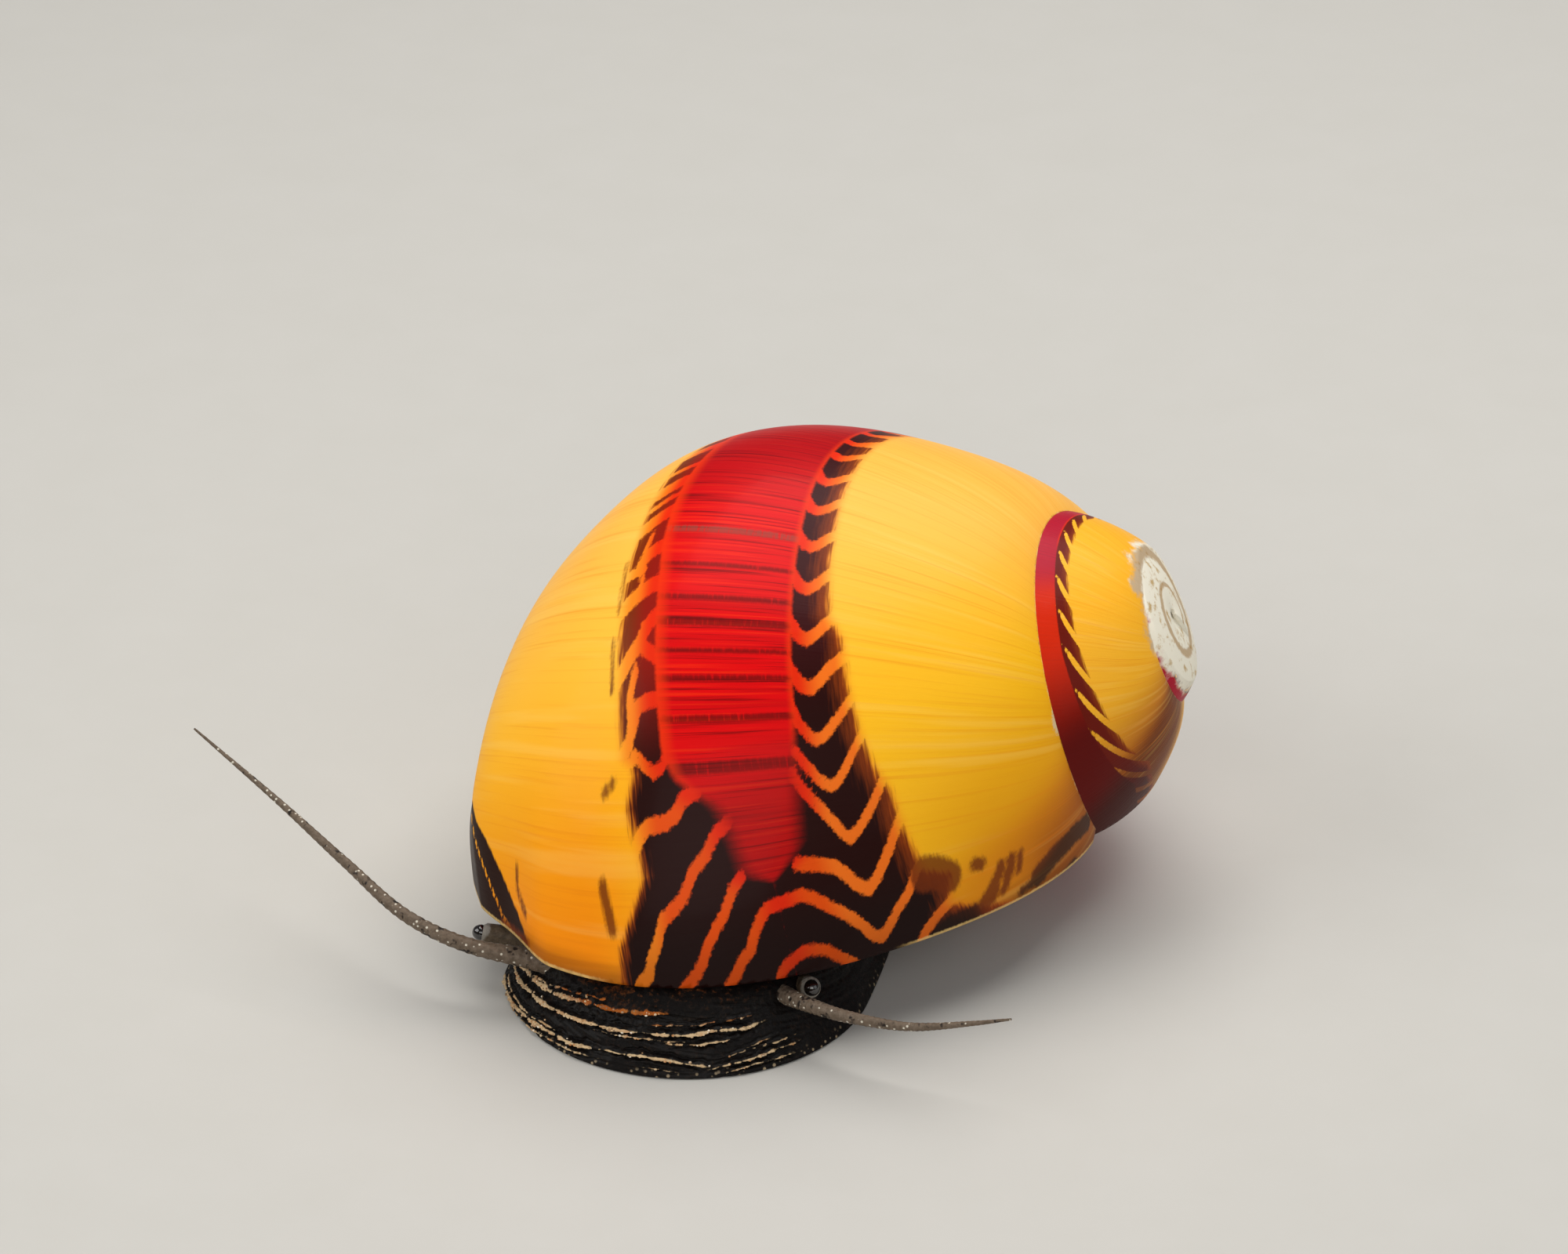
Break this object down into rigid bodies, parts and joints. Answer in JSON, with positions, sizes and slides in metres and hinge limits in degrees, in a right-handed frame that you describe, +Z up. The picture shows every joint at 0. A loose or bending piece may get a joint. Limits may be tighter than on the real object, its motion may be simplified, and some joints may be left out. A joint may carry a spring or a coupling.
{
  "type": "nerite snail model",
  "caption": "Crawling nerite snail with its feelers out, and a yellow shell with a red band, dark spots and zigzag lines.",
  "frame": {"origin": "middle of the sole, on the floor that the snail crawls on", "axes": "+Z up, -Y the way the head looks, +X towards the point of the spire"},
  "size_m": [0.0267, 0.0206, 0.0124],
  "materials": {
    "shell": "glossy yellow shell with a crimson band between dark spots, fine growth lines and dark zigzag lines near the lip",
    "worn_shell": "white worn lime where the skin of the shell has gone",
    "callus": "smooth pale callus with a greenish tint",
    "operculum": "dark semi-gloss lid with fine growth rings",
    "skin": "wet black skin with cream and brown wavy lines along its folds",
    "foot": "wet dark skin with pale specks, paler on the sole",
    "feeler": "wet grey-brown skin with pale specks and dark dots",
    "eye": "glossy black"
  },
  "bodies": {
    "root": {"shell_body_whorl": "shell", "shell_spire_whorl": "shell", "shell_apex": "worn_shell", "shell_columellar_deck": "callus", "operculum": "operculum", "mantle_edge": "skin", "head_snout": "skin", "foot_front": "foot", "foot_tail": "foot", "tentacle_left_base": "feeler", "tentacle_left_middle": "feeler", "tentacle_left_tip": "feeler", "tentacle_right_base": "feeler", "tentacle_right_middle": "feeler", "tentacle_right_tip": "feeler", "eyestalk_left": "skin", "eyestalk_right": "skin", "eye_left": "eye", "eye_right": "eye"}
  },
  "joints": []
}
